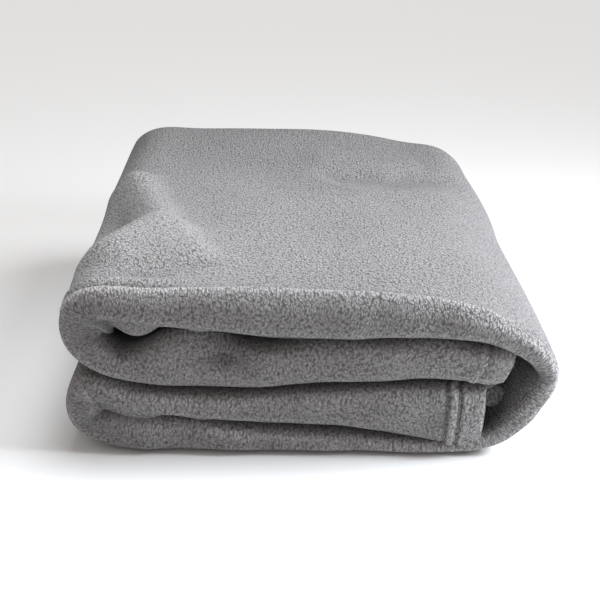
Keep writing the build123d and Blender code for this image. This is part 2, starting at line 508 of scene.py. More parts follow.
@dataclass(frozen=True)
class Crease:
    """A ridge or valley that runs along a short line on the throw's top.

    Args:
        points: the line's corners as x and y, in millimetres.
        height: how high it stands, in millimetres, and below 0 for a valley.
        near: its width on the side to the right of the line's direction, in millimetres.
        far: its width on the other side, in millimetres.
        fade: the length over which both ends run out, in millimetres.
    """

    points: tuple[tuple[float, float], ...]
    height: float
    near: float
    far: float
    fade: float = 22.0

    def lift(self, x: Array, y: Array) -> Array:
        """How far it lifts the cloth at each place, all in metres."""
        best = np.full(x.shape, np.inf)
        side = np.zeros(x.shape)
        along = np.zeros(x.shape)
        corners = np.array(self.points) * MM
        walked = 0.0
        for begin, end in zip(corners[:-1], corners[1:]):
            run = end - begin
            length = float(np.hypot(*run))
            dx, dy = x - begin[0], y - begin[1]
            share = np.clip((dx * run[0] + dy * run[1]) / length**2, 0.0, 1.0)
            away = np.hypot(dx - share * run[0], dy - share * run[1])
            turn = run[0] * dy - run[1] * dx
            nearer = away < best
            best = np.where(nearer, away, best)
            side = np.where(nearer, turn, side)
            along = np.where(nearer, walked + share * length, along)
            walked += length
        width = np.where(side < 0.0, self.near, self.far) * MM
        ends = smooth(along, 0.0, self.fade * MM) * smooth(walked - along, 0.0, self.fade * MM)
        return self.height * MM * ends * np.exp(-((best / width) ** 2))


TOP_CREASES = (
    Crease(((-142, 40), (-136, 26), (-128, 6), (-119, -24), (-110, -50), (-101, -70)), 12, 14, 17),
    Crease(((-110, -50), (-98, -74), (-86, -102), (-70, -142)), 8.0, 40, 15),
    Crease(((-104, -54), (-116, -80), (-129, -104), (-139, -122), (-147, -136)), 7.5, 11, 26),
    Crease(((5, 46), (19, 56), (67, 58), (87, 72), (115, 74), (146, 72)), -6.0, 24, 15),
    Crease(((-10, 92), (30, 96), (75, 98), (105, 104)), 2.5, 20, 24),
    Crease(((20, 20), (60, 22), (100, 34), (135, 36)), 2.0, 22, 16),
)


@dataclass(frozen=True)
class TopRelief:
    """What the use and the hand-folding left on the throw's top.

    Args:
        dent: middle of the hollow at the left, as x and y in millimetres.
        dent_size: its half-widths along x and y, in millimetres.
        dent_depth: its depth, in millimetres.
        uneven: the top's slight unevenness.
    """

    dent: tuple[float, float] = (-138.0, -46.0)
    dent_size: tuple[float, float] = (28.0, 50.0)
    dent_depth: float = 13.0
    uneven: Swell = Swell(1.1, 95, seed=11)

    def lift(self, x: Array, y: Array) -> Array:
        """How far the top is lifted at each place, all in metres."""
        dx = (x / MM - self.dent[0]) / self.dent_size[0]
        dy = (y / MM - self.dent[1]) / self.dent_size[1]
        total = -self.dent_depth * MM * np.exp(-(dx**2) - dy**2)
        for crease in TOP_CREASES:
            total = total + crease.lift(x, y)
        return total + self.uneven.at(x, y)


class ColumnSpacing:
    """Where the columns of the mesh stand along the strip."""

    STEP = 2.3 * MM  # between two columns of plain cloth
    HEM_STEP = 0.8 * MM  # between two columns of an end hem
    HEM = 29.0 * MM  # the end hem and the first of the cloth behind it

    def __init__(self, route: StripRoute) -> None:
        """Cuts the route into pieces and spaces out the columns of each."""
        total = route.length
        quarter = route.station_length(1, 2)
        spine = route.station_length(3, 3)
        three_quarters = route.station_length(5, 1)
        cuts = (0.0, self.HEM, quarter, spine, three_quarters, total - self.HEM, total)
        steps = (self.HEM_STEP,) + (self.STEP,) * 4 + (self.HEM_STEP,)
        places, self.starts = [0.0], [0]
        for begin, end, step in zip(cuts[:-1], cuts[1:], steps):
            count = max(2, round((end - begin) / step))
            places.extend(np.linspace(begin, end, count + 1)[1:])
            self.starts.append(len(places) - 1)
        self.places = np.array(places)

    def piece(self, first: int, last: int) -> slice:
        """The columns from the start of one piece to the end of another."""
        return slice(self.starts[first], self.starts[last + 1] + 1)


@dataclass(frozen=True)
class Hem:
    """A hem: the cloth's edge turned under and sewn down with two rows of stitches.

    Args:
        turned: where the turned ply ends, in distances from the edge.
        extra: how much thicker the cloth is there, on each face.
        rows: distances from the edge to the two rows.
        groove: how deep each row pulls the pile in.
        groove_width: the width of that groove.
        band: the raised band between the rows.
        round_off: how far the rounding of the very edge reaches in.
        blunt: what is left at the very edge of the square of the thickness.
    """

    turned: Rise = Rise(29, 24)
    extra: float = 0.6 * MM
    rows: tuple[float, float] = (17.0 * MM, 25.0 * MM)
    groove: float = 1.25 * MM
    groove_width: float = 1.9 * MM
    band: Bump = Bump(21, 2.6, 0.8)
    round_off: float = 2.6 * MM
    blunt: float = 0.03

    def half_thickness(self, from_edge: Array, half: float, pull: Array | float = 1.0) -> Array:
        """Half the cloth's thickness beside an edge.

        Args:
            from_edge: distances from the cloth's edge.
            half: half the plain cloth's thickness.
            pull: how tightly the rows are sewn, from 0 to 1.

        Returns:
            The half thickness at each distance.
        """
        thickness = half + self.extra * self.turned.at(from_edge)
        for row in self.rows:
            thickness = thickness - pull * self.groove * bell(from_edge, row, self.groove_width)
        thickness = thickness + pull * self.band.at(from_edge)
        inward = np.clip(from_edge / self.round_off, 0.0, 1.0)
        return thickness * np.sqrt(np.clip(1.0 - (1.0 - inward) ** 2, self.blunt, 1.0))


class FoldedCloth:
    """The whole sheet as one grid: a column for each place along, a row for each place across.

    The rises and bumps below are read by x to the right of the stack's middle (SIDE), by z above
    its foot (LEVEL), by the distance behind its front (BEHIND), by the depth under the strip's
    outer face (DEPTH) or by how squarely the strip runs left or right (FACING).
    """

    UNEVEN_FRONT = Swell(0.9, 70, seed=3, terms=7)
    SKEW = 20 * MM  # how far the back comes forward at its right
    SKEW_SIDE, SKEW_LEVEL = Rise(-100, 190), Rise(45, 75)
    LOWER_SKEW = 0.35  # the lower half's share of it
    CORNER = 8 * MM  # how far the back's left corner is rounded off
    CORNER_SIDE = Rise(-105, -165)
    NARROWING = 11 * MM  # how far the right side comes in at the back
    NARROWING_BEHIND, NARROWING_SIDE = Rise(30, 350), Rise(40, 150)
    FULLER = Bump(270, 45, 5)  # where it comes in less, BEHIND

    # How the free ends reach on past their front corners, by the distance from the strip's end.
    END_REACH = Rise(60, 0)
    LOWER_SLIDE, UPPER_SLIDE, UPPER_SLANT = 23 * MM, 5 * MM, 6 * MM
    SLIDE_BEHIND, SLIDE_DEPTH, SLIDE_FLOOR = Rise(9, 26), Rise(2, 10), Rise(42, 20)
    SLANT_DEPTH = Rise(2, 24)

    # How the top and the back's right side are raised, and with them the upper lip.
    TOP_LEVEL, TOP_FACING = Rise(88, 106), Rise(-0.1, 0.7, 1.0)
    RELIEF_REACH = 46 * MM  # how deep the top's relief shows
    CROWN, CROWN_BEHIND = 2.2 * MM, Rise(20, 80)
    BACK_CROWN, BACK_CROWN_BEHIND = Bump(-25, 105, 3.5), Rise(270, 350)
    CREST, CREST_DEPTH = Bump(9, 4.2, 3.4), Rise(12, 3)  # the crest along the upper lip
    PLEAT, PLEAT_GROOVE = Bump(25, 4, 2.2), Bump(17, 3.2, 2.2)  # the double roll at its left
    PLEAT_SIDE, PLEAT_DEPTH = Rise(-72, -104), Rise(9, 3)
    SHOULDER = Bump(126, 27, 9)  # the puffed right side of the back, SIDE
    SHOULDER_LEVEL, SHOULDER_BEHIND = Rise(66, 90), Rise(120, 345)

    # How the loose inner plies sag and swell in the hollows of the spine and the left turns.
    INNER_DEPTH = Rise(6, 18)
    SPINE_SAG = Bump(36, 20, -3)  # LEVEL
    SPINE_SIDE, SPINE_BEHIND = Rise(128, 150), Rise(6, 26)
    HANGING = Bump(-12, 62, -5.5)  # the inner ply that sags under the top, SIDE
    HANGING_FRONT, HANGING_BACK, HANGING_DEPTH = Rise(10, 20), Rise(110, 60), Rise(16, 26)
    TUNNEL_SIDE, TUNNEL_BEHIND = Rise(-55, -90), Rise(5, 14)
    ROOF_FACING, ROOF_SAG, ROOF = Rise(0.2, 0.9, 1.0), 4.8 * MM, Swell(8, 44, seed=21, terms=6)
    WALL_FACING, WALLS = Rise(-0.85, -0.2, 1.0), Swell(3, 17, seed=5, terms=6)

    # How the lips are pushed back here and there.
    LIP_BEHIND, UNEVEN_LIP = Rise(40, 8), Swell(0.7, 34, seed=8, terms=7)
    FLAP_FACING, FLAP_LEVEL = Rise(0.5, 0.9, 1.0), Rise(38, 46)
    PUSHED, PUSHED_DEPTH = Bump(-54, 17, 7), Rise(12, 24)  # the dint in the upper flap's lip

    GENTLE_BEND = 14 * MM  # the radius above which a ridge gets no painted highlight
    FULL_PAINT_RADIUS = 6 * MM  # the radius at which the painted highlight on a ridge or the painted shade in a crease is full
    MEASURED_FROM = 20  # rows behind the front lip
    UPPER_PULL = 0.4  # how tightly the upper end's hem is sewn

    def __init__(self, low: Vector, high: Vector) -> None:
        """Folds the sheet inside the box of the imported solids.

        Args:
            low: the box's lowest corner.
            high: its highest corner.
        """
        self.low, self.high = low, high
        self.folds, self.hem, self.relief = PlyFolds(), Hem(), TopRelief()
        self.route = StripRoute(low, high)
        self.columns = ColumnSpacing(self.route)
        self.plies, _ = self.folds.stations()
        self.middle = self._lay_middle()
        self.normals = self._normals_of(self.middle)
        self.uv = self._measure()
        half = self._half_thickness()[..., None]
        self.outer = self.middle + self.normals * half
        self.inner = self.middle - self.normals * half
        self.outer_normals = self._normals_of(self.outer)
        self.inner_normals = -self._normals_of(self.inner)
        # Painted shade in the creases and painted highlight on the ridges and edges, read from the
        # bending.
        self.outer_painted_shading = self._painted_shading(self.outer, self.outer_normals)
        self.inner_painted_shading = self._painted_shading(self.inner, self.inner_normals)

    def _lay_middle(self) -> Array:
        """Places the middle of the cloth's thickness."""
        places = self.columns.places
        strip = self.route.read(places)
        x, z = strip["x"], strip["z"]
        front = self.low.y + strip["recess"] + self.UNEVEN_FRONT.at(places, 0.0 * places)
        share = self.LOWER_SKEW + (1.0 - self.LOWER_SKEW) * self.SKEW_LEVEL.at(z)
        skew = self.SKEW * self.SKEW_SIDE.at(x) * share
        back = self.high.y - skew - self.CORNER * self.CORNER_SIDE.at(x)
        y, depth = self.folds.section(front, back, strip["loft"], strip["core"])
        place = (x[:, None] + 0 * y, y, z[:, None] + 0 * y)
        heading = strip["heading"][:, None]
        reach = self._lift(*place, depth, heading) - depth
        slide = self._slide(places[:, None], y, depth)
        y = y + self._dimples(*place, depth, heading)
        sine, cosine = np.sin(heading), np.cos(heading)
        across = x[:, None] + sine * reach + cosine * slide
        behind = y - self.low.y
        narrowing = self.NARROWING_BEHIND.at(behind) * self.NARROWING_SIDE.at(across)
        across = across - (self.NARROWING - self.FULLER.at(behind)) * narrowing
        return np.stack([across, y, z[:, None] - cosine * reach + sine * slide], axis=-1)

    def _slide(self, place: Array, y: Array, depth: Array) -> Array:
        """How far the free ends reach past their front corners, along the strip.

        Args:
            place: distance along the strip.
            y: the place's y.
            depth: how deep the place is under the outer face.

        Returns:
            The distance, positive in the strip's direction.
        """
        inside = self.SLIDE_BEHIND.at(y - self.low.y)
        reach = (0.5 + 0.5 * self.SLIDE_DEPTH.at(depth)) * self.SLIDE_FLOOR.at(depth)
        lower = self.END_REACH.at(place) * inside * reach * self.LOWER_SLIDE
        slant = self.UPPER_SLANT * self.SLANT_DEPTH.at(depth)
        upper = self.END_REACH.at(self.route.length - place)
        return upper * (slant + self.UPPER_SLIDE * inside) - lower

    def _lift(self, x: Array, y: Array, z: Array, depth: Array, heading: Array) -> Array:
        """How far each place is moved outwards from the strip's plain shape.

        Args:
            x: the outer face's x.
            y: the place's y.
            z: the outer face's z.
            depth: how deep the place is under the outer face.
            heading: the strip's heading there.

        Returns:
            The distance, which is negative where the cloth is pushed in.
        """
        behind = y - self.low.y
        on_top = self.TOP_LEVEL.at(z) * self.TOP_FACING.at(-np.cos(heading))
        fading = np.clip(1.0 - depth / self.RELIEF_REACH, 0.0, 1.0)
        crown = self.CROWN * self.CROWN_BEHIND.at(behind)
        crown = crown + self.BACK_CROWN.at(x) * self.BACK_CROWN_BEHIND.at(behind)
        crest = self.CREST.at(behind) * self.CREST_DEPTH.at(depth)
        lift = on_top * (fading * (self.relief.lift(x, y) + crown) + crest)
        pleat = (self.PLEAT.at(behind) - self.PLEAT_GROOVE.at(behind)) * self.PLEAT_SIDE.at(x)
        lift = lift + pleat * on_top * self.PLEAT_DEPTH.at(depth)
        shoulder = self.SHOULDER.at(x) * self.SHOULDER_LEVEL.at(z)
        lift = lift + shoulder * self.SHOULDER_BEHIND.at(behind)
        return lift + self._inner_slack(x, y, z, depth, heading)

    def _inner_slack(self, x: Array, y: Array, z: Array, depth: Array, heading: Array) -> Array:
        """How the loose inner plies move inwards and outwards in the hollows, as _lift does."""
        behind, inner = y - self.low.y, self.INNER_DEPTH.at(depth)
        in_spine = self.SPINE_SIDE.at(x) * self.SPINE_BEHIND.at(behind)
        tunnel = self.TUNNEL_SIDE.at(x) * self.TUNNEL_BEHIND.at(behind) * inner
        facing = self.ROOF_FACING.at(-np.cos(heading))
        hanging = self.HANGING_FRONT.at(behind) * self.HANGING_BACK.at(behind)
        hanging = hanging * self.HANGING.at(x) * self.TOP_LEVEL.at(z) * facing
        roof = tunnel * facing * (self.ROOF_SAG + self.ROOF.at(x, y))
        walls = tunnel * self.WALL_FACING.at(-np.abs(np.cos(heading))) * self.WALLS.at(z, y)
        slack = self.SPINE_SAG.at(z) * in_spine * inner + walls - roof
        return slack + hanging * self.HANGING_DEPTH.at(depth)

    def _dimples(self, x: Array, y: Array, z: Array, depth: Array, heading: Array) -> Array:
        """How far back the lips are pushed in here and there, in the terms of _lift."""
        upper_flap = self.FLAP_FACING.at(np.cos(heading)) * self.FLAP_LEVEL.at(z)
        pushed = upper_flap * self.PUSHED.at(x) * self.PUSHED_DEPTH.at(depth)
        return self.LIP_BEHIND.at(y - self.low.y) * (pushed + self.UNEVEN_LIP.at(x + z, depth))

    @staticmethod
    def _normals_of(grid: Array) -> Array:
        """Unit normals of a grid, towards the strip's outside on its outermost ply."""
        normal = np.cross(np.gradient(grid, axis=0), np.gradient(grid, axis=1))
        return normal / np.maximum(np.linalg.norm(normal, axis=-1, keepdims=True), 1e-12)

    def _painted_shading(self, grid: Array, normals: Array) -> Array:
        """Painted light and shade from the bending: up to 1 for painted highlight on ridges and
        edges, down to -1 for painted shade in creases.
        """
        bending = np.zeros(grid.shape[:2])
        for axis in (0, 1):
            first = np.gradient(grid, axis=axis)
            length = np.maximum(np.linalg.norm(first, axis=-1, keepdims=True), 1e-6)
            turning = np.gradient(first / length, axis=axis) / length
            bending = bending - (turning * normals).sum(axis=-1)
        for axis in (0, 1, 0, 1):
            ahead, behind = np.roll(bending, 1, axis), np.roll(bending, -1, axis)
            bending = 0.5 * bending + 0.25 * (ahead + behind)
        # Painted highlight on ridges bent more sharply than GENTLE_BEND; creases get painted shade
        # in full.
        rubbed = np.maximum(bending - 1.0 / self.GENTLE_BEND, 0.0)
        return np.clip(np.where(bending > 0.0, rubbed, bending) * self.FULL_PAINT_RADIUS, -1.0, 1.0)

    def _measure(self) -> Array:
        """The sheet's own flat coordinates in metres, for the pile to follow."""
        along = self.columns.places - self.columns.places[0]
        widths = np.linalg.norm(np.diff(self.middle, axis=1), axis=-1)
        across = np.concatenate([np.zeros((len(along), 1)), np.cumsum(widths, axis=1)], axis=1)
        anchor = int(np.searchsorted(self.plies, Ply.OUTERMOST.value)) + self.MEASURED_FROM
        across = across - across[:, anchor : anchor + 1]
        return np.stack([along[:, None] + 0 * across, across], axis=-1)

    def _half_thickness(self) -> Array:
        """Half the cloth's thickness everywhere, with its four hems."""
        half = 0.5 * self.folds.cloth
        along, across = self.uv[..., 0], self.uv[..., 1]
        end = np.minimum(along, along[-1:] - along)
        side = np.minimum(across - across[:, :1], across[:, -1:] - across)
        pull = np.where(along > 0.5 * along[-1:], self.UPPER_PULL, 1.0)
        shape = self.hem.half_thickness(end, half, pull) / half
        return shape * self.hem.half_thickness(side, half)


class ClothMesher:
    """Turns a run of the sheet's columns into one closed mesh."""

    INNER_SHIFT = np.array([0.37, 0.21])  # so that the two faces' piles differ

    def __init__(self, cloth: FoldedCloth) -> None:
        """Keeps the sheet to cut from."""
        self.cloth = cloth

    def cut(self, name: str, columns: slice) -> bpy.types.Object:
        """Cuts one piece.

        Args:
            name: the piece's name.
            columns: which of the sheet's columns it has.

        Returns:
            The piece's object, smooth, with the sheet's own coordinates as its UV map.
        """
        cloth = self.cloth
        wide, high = cloth.outer[columns].shape[:2]
        count = wide * high
        index = np.arange(count).reshape(wide, high)
        quads = self._quads(index)
        rims = [
            self._rim(index[:, 0], count, False), self._rim(index[:, -1], count, True),
            self._rim(index[0, :], count, True), self._rim(index[-1, :], count, False),
        ]
        faces = np.concatenate([quads, quads[:, ::-1] + count, *rims])
        points = self._both(cloth.outer[columns], cloth.inner[columns])
        mesh = bpy.data.meshes.new(name)
        mesh.from_pydata(points.tolist(), [], faces.tolist())
        mesh.polygons.foreach_set("use_smooth", np.ones(len(faces), bool))
        flat = self._both(cloth.uv[columns], cloth.uv[columns] + self.INNER_SHIFT)
        loops = np.zeros(len(mesh.loops), np.int32)
        mesh.loops.foreach_get("vertex_index", loops)
        mesh.uv_layers.new(name=CLOTH_MAP).data.foreach_set("uv", flat[loops].ravel())
        # Painted shade in creases and painted highlight on ridges and edges, kept for the material.
        painted_shading = self._both(cloth.outer_painted_shading[columns, :, None], cloth.inner_painted_shading[columns, :, None])
        mesh.attributes.new(PAINTED_SHADING, "FLOAT", "POINT").data.foreach_set("value", painted_shading.ravel())
        normals = self._both(cloth.outer_normals[columns], cloth.inner_normals[columns])
        mesh.normals_split_custom_set_from_vertices(normals.tolist())
        return put(name, mesh)

    @staticmethod
    def _both(outer: Array, inner: Array) -> Array:
        """The rows of values of the outer face's points and then the inner face's."""
        return np.concatenate([face.reshape(-1, face.shape[-1]) for face in (outer, inner)])

    @staticmethod
    def _quads(index: Array) -> Array:
        """The quads of a grid of vertex numbers."""
        a, b = index[:-1, :-1], index[1:, :-1]
        c, d = index[1:, 1:], index[:-1, 1:]
        return np.stack([a, b, c, d], axis=-1).reshape(-1, 4)

    @staticmethod
    def _rim(edge: Array, count: int, forward: bool) -> Array:
        """The quads that close one border between the two faces of the cloth."""
        a, b = edge[:-1], edge[1:]
        rim = np.stack([a, a + count, b + count, b], axis=-1)
        return rim[:, ::-1] if forward else rim


class Wire:
    """One socket's value in a node tree, with arithmetic that adds its Math nodes."""

    def __init__(self, board: "NodeBoard", socket: bpy.types.NodeSocket | None) -> None:
        """Keeps the board that the nodes go on, and the socket."""
        self.board, self.socket = board, socket

    def _math(self, operation: str, first: object, second: object) -> "Wire":
        """Adds one Math node."""
        return self.board.add("ShaderNodeMath", {"operation": operation}, {0: first, 1: second})

    def __add__(self, other: object) -> "Wire":
        """self + other."""
        return self._math("ADD", self, other)

    def __sub__(self, other: object) -> "Wire":
        """self - other."""
        return self._math("SUBTRACT", self, other)

    def __mul__(self, other: object) -> "Wire":
        """self * other."""
        return self._math("MULTIPLY", self, other)

    def __rsub__(self, other: object) -> "Wire":
        """other - self."""
        return self._math("SUBTRACT", other, self)

    def raised(self, power: float) -> "Wire":
        """self to a power."""
        return self._math("POWER", self, power)

    def kept_in(self) -> "Wire":
        """self held between 0 and 1."""
        return self.board.add("ShaderNodeClamp", {}, {"Value": self})


class NodeBoard:
    """A node tree, filled through one method."""

    def __init__(self, tree: bpy.types.NodeTree) -> None:
        """Empties the tree."""
        self.tree = tree
        tree.nodes.clear()

    def add(self, kind: str, settings: dict, sockets: dict, output: int | str = 0) -> Wire:
        """Adds one node.

        Args:
            kind: the node's type.
            settings: its properties, which are set first.
            sockets: the value or Wire of each input, by its name or number.
            output: which output comes back.

        Returns:
            The Wire from that output.
        """
        node = self.tree.nodes.new(kind)
        for name, value in settings.items():
            setattr(node, name, value)
        for key, value in sockets.items():
            if isinstance(value, Wire):
                self.tree.links.new(value.socket, node.inputs[key])
            else:
                node.inputs[key].default_value = value
        return Wire(self, node.outputs[output] if len(node.outputs) else None)

    def mix(self, factor: object, first: object, second: object, way: str = "MIX") -> Wire:
        """Two colours mixed.

        Args:
            factor: the second one's share.
            first: the first colour.
            second: the second colour.
            way: how they are mixed.

        Returns:
            The mixed colour.
        """
        settings = {"data_type": "RGBA", "blend_type": way}
        return self.add("ShaderNodeMix", settings, {0: factor, 6: first, 7: second}, 2)

    def vector(self, operation: str, first: object, second: object) -> Wire:
        """A Vector Math node on two vectors."""
        return self.add("ShaderNodeVectorMath", {"operation": operation}, {0: first, 1: second})

    def noise(self, place: Wire, scale: float, detail: float, roughness: float = 0.5) -> Wire:
        """The Noise Texture's value at a place."""
        sockets = {"Vector": place, "Scale": scale, "Detail": detail, "Roughness": roughness}
        return self.add("ShaderNodeTexNoise", {}, sockets, "Fac")

    def bump(self, height: Wire, distance: float, strength: float) -> Wire:
        """The normals of a surface with this height."""
        sockets = {"Strength": strength, "Distance": distance, "Height": height}
        return self.add("ShaderNodeBump", {}, sockets)

    def surface(self, sockets: dict) -> None:
        """Adds a material's shader with these inputs, and its output."""
        shader = self.add("ShaderNodeBsdfPrincipled", {}, sockets)
        self.add("ShaderNodeOutputMaterial", {}, {"Surface": shader})


def new_material(name: str) -> tuple[bpy.types.Material, NodeBoard]:
    """A new material and its empty board."""
    material = bpy.data.materials.new(name)
    material.use_nodes = True
    return material, NodeBoard(material.node_tree)


@dataclass(frozen=True)
class FleeceFinish:
    """Brushed polyester fleece whose pile has rubbed up into small curly nubs.

    Args:
        name: the material's name.
        tip: colour of the nubs' tips.
        gap: colour down between the nubs, which is painted shade.
        nub: distance from one nub to the next.
        height: how high the nubs stand.
        drawn: how the nubs are drawn out along and across the sheet.
        sway: how far the nubs stray from their places, in nubs.
        waves: waves of that sway, of the clumps and of the fibres for each nub.
        hollow: how deep the pile falls from a nub's middle.
        shares: how much of the pile's height nubs, clumps and fibres make up.
        toning: the pile height where the painted shade between the nubs lightens to the tip colour,
            how fast it does, and to what power.
        patches: waves of the broad patches for each metre.
        patch_tints: the tints of the duller and the fresher patches.
        shade_and_highlight_tints: the tints of the painted shade down in creases and of the painted
            highlight up on ridges and edges.
    """

    name: str = "grey_fleece"
    tip: Colour = (0.35, 0.338, 0.334, 1.0)
    # painted shade down between the nubs
    gap: Colour = (0.112, 0.106, 0.104, 1.0)
    nub: float = 1.65 * MM
    height: float = 1.9 * MM
    drawn: tuple[float, float, float] = (1.1, 0.85, 1.0)
    sway: float = 1.5
    waves: tuple[float, float, float] = (0.9, 0.8, 5.0)
    hollow: float = 1.15
    shares: tuple[float, float, float] = (0.62, 0.5, 0.14)
    toning: tuple[float, float, float] = (0.22, 1.55, 1.7)
    patches: float = 14.0
    patch_tints: tuple[Colour, Colour] = ((0.90, 0.89, 0.885, 1.0), (1.09, 1.10, 1.115, 1.0))
    shade_and_highlight_tints: tuple[Colour, Colour] = ((0.55, 0.55, 0.55, 1.0), (1.45, 1.45, 1.47, 1.0))

    def _pile(self, board: NodeBoard, flat: Wire) -> Wire:
        """Adds the nodes of the pile's height at each place of the flat sheet."""
        pitch = 1.0 / self.nub
        swaying, clumping, fraying = (pitch * waves for waves in self.waves)
        drawn = board.vector("MULTIPLY", flat, self.drawn)
        sockets = {"Vector": drawn, "Scale": swaying, "Detail": 1.0}
        sway = board.add("ShaderNodeTexNoise", {"noise_dimensions": "2D"}, sockets, "Color")
        reach = self.sway * self.nub
        curled = board.vector("ADD", drawn, board.vector("MULTIPLY", sway, (reach, reach, 0.0)))
        sockets = {"Vector": curled, "Scale": pitch}
        cells = board.add("ShaderNodeTexVoronoi", {"voronoi_dimensions": "2D"}, sockets, "Distance")
        clumps = board.noise(curled, clumping, 2.0, 0.6)
        fibres = board.noise(flat, fraying, 2.0, 0.6)
        nubs, clumped, fibrous = self.shares
        return (1.0 - cells * self.hollow) * nubs + clumps * clumped + fibres * fibrous

    def material(self) -> bpy.types.Material:
        """Builds the material."""
        material, board = new_material(self.name)
        flat = board.add("ShaderNodeUVMap", {"uv_map": CLOTH_MAP}, {})
        pile = self._pile(board, flat)
        # Painted shade: the colour falls from the tip colour to the gap colour down between the
        # nubs.
        shadow, gain, power = self.toning
        light = ((pile - shadow) * gain).kept_in().raised(power)
        patches = board.mix(board.noise(flat, self.patches, 3.0), *self.patch_tints)
        colour = board.mix(1.0, board.mix(light, self.gap, self.tip), patches, "MULTIPLY")
        # Painted shade in creases and painted highlight on ridges and edges, multiplied into the
        # base colour.
        painted_shading = board.add("ShaderNodeAttribute", {"attribute_name": PAINTED_SHADING}, {}, "Fac")
        tint = board.mix((painted_shading * 0.5 + 0.5).kept_in(), *self.shade_and_highlight_tints)
        board.surface({
            "Base Color": board.mix(1.0, colour, tint, "MULTIPLY"), "Roughness": 0.95,
            "Normal": board.bump(pile, self.height, 1.0), "Specular IOR Level": 0.12,
            "Sheen Weight": 0.18, "Sheen Roughness": 0.35, "Sheen Tint": (0.93, 0.96, 1.0, 1.0),
        })
        return material


@dataclass(frozen=True)
class ThreadFinish:
    """Matte twisted sewing thread.

    Args:
        name: the material's name.
        light: colour of the twist's ridges.
        dark: colour of its furrows, which is painted shade.
        twist: distance between two turns of the twist.
        furrow: depth of the furrows.
    """

    name: str = "grey_hem_thread"
    light: Colour = (0.351, 0.3445, 0.351, 1.0)
    dark: Colour = (0.189, 0.1855, 0.189, 1.0)
    twist: float = 0.6 * MM
    furrow: float = 0.1 * MM

    def material(self) -> bpy.types.Material:
        """Builds the material."""
        material, board = new_material(self.name)
        place = board.add("ShaderNodeTexCoord", {}, {}, "Object")
        turns = board.noise(place, 1.0 / self.twist, 2.0, 0.6)
        board.surface({
            # The furrows of the twist carry painted shade, darker than its ridges.
            "Base Color": board.mix(turns, self.dark, self.light), "Roughness": 0.7,
            "Normal": board.bump(turns, self.furrow, 0.5), "Specular IOR Level": 0.3,
            "Sheen Weight": 0.2, "Sheen Roughness": 0.4,
        })
        return material


@dataclass(frozen=True)
class FloorFinish:
    """A plain pale matte floor."""

    name: str = "pale_floor"
    colour: Colour = (0.94, 0.94, 0.94, 1.0)

    def material(self) -> bpy.types.Material:
        """Builds the material."""
        material, board = new_material(self.name)
        board.surface({"Base Color": self.colour, "Roughness": 0.9, "Specular IOR Level": 0.1})
        return material


@dataclass(frozen=True)
class StitchTree:
    """The node tree that lays a stitch at every pitch along the lines it is given.

    Args:
        pitch: distance from one stitch to the next.
        length: length of one stitch.
        thickness: thickness of the thread.
    """

    pitch: float = 5.0 * MM
    length: float = 3.9 * MM
    thickness: float = 0.8 * MM

    INPUTS = ("Pitch", "Stitch Length", "Thread Thickness")

    def tree(self, thread: bpy.types.Material) -> bpy.types.NodeTree:
        """Builds the tree.

        Args:
            thread: the stitches' material.

        Returns:
            The tree, with its sizes as named inputs.
        """
        tree = bpy.data.node_groups.new("hem_stitches", "GeometryNodeTree")
        face = tree.interface
        face.new_socket("Geometry", in_out="INPUT", socket_type="NodeSocketGeometry")
        for name in self.INPUTS:
            face.new_socket(name, in_out="INPUT", socket_type="NodeSocketFloat")
        face.new_socket("Geometry", in_out="OUTPUT", socket_type="NodeSocketGeometry")
        board = NodeBoard(tree)
        given = board.add("NodeGroupInput", {}, {})
        outputs = given.socket.node.outputs
        lines, pitch, length, thickness = (Wire(board, outputs[k]) for k in range(4))
        curves = board.add("GeometryNodeMeshToCurve", {}, {"Mesh": lines})
        sockets = {"Curve": curves, "Length": pitch}
        points = board.add("GeometryNodeCurveToPoints", {"mode": "LENGTH"}, sockets)
        turn = Wire(board, points.socket.node.outputs["Rotation"])
        sockets = {"Segments": 6, "Rings": 4, "Radius": 0.5}
        bead = board.add("GeometryNodeMeshUVSphere", {}, sockets)
        size = board.add("ShaderNodeCombineXYZ", {}, {0: thickness, 1: thickness, 2: length})
        sockets = {"Points": points, "Instance": bead, "Rotation": turn, "Scale": size}
        stitches = board.add("GeometryNodeInstanceOnPoints", {}, sockets)
        real = board.add("GeometryNodeRealizeInstances", {}, {"Geometry": stitches})
        sockets = {"Geometry": real, "Material": thread}
        dressed = board.add("GeometryNodeSetMaterial", {}, sockets)
        board.add("NodeGroupOutput", {}, {0: dressed})
        return tree


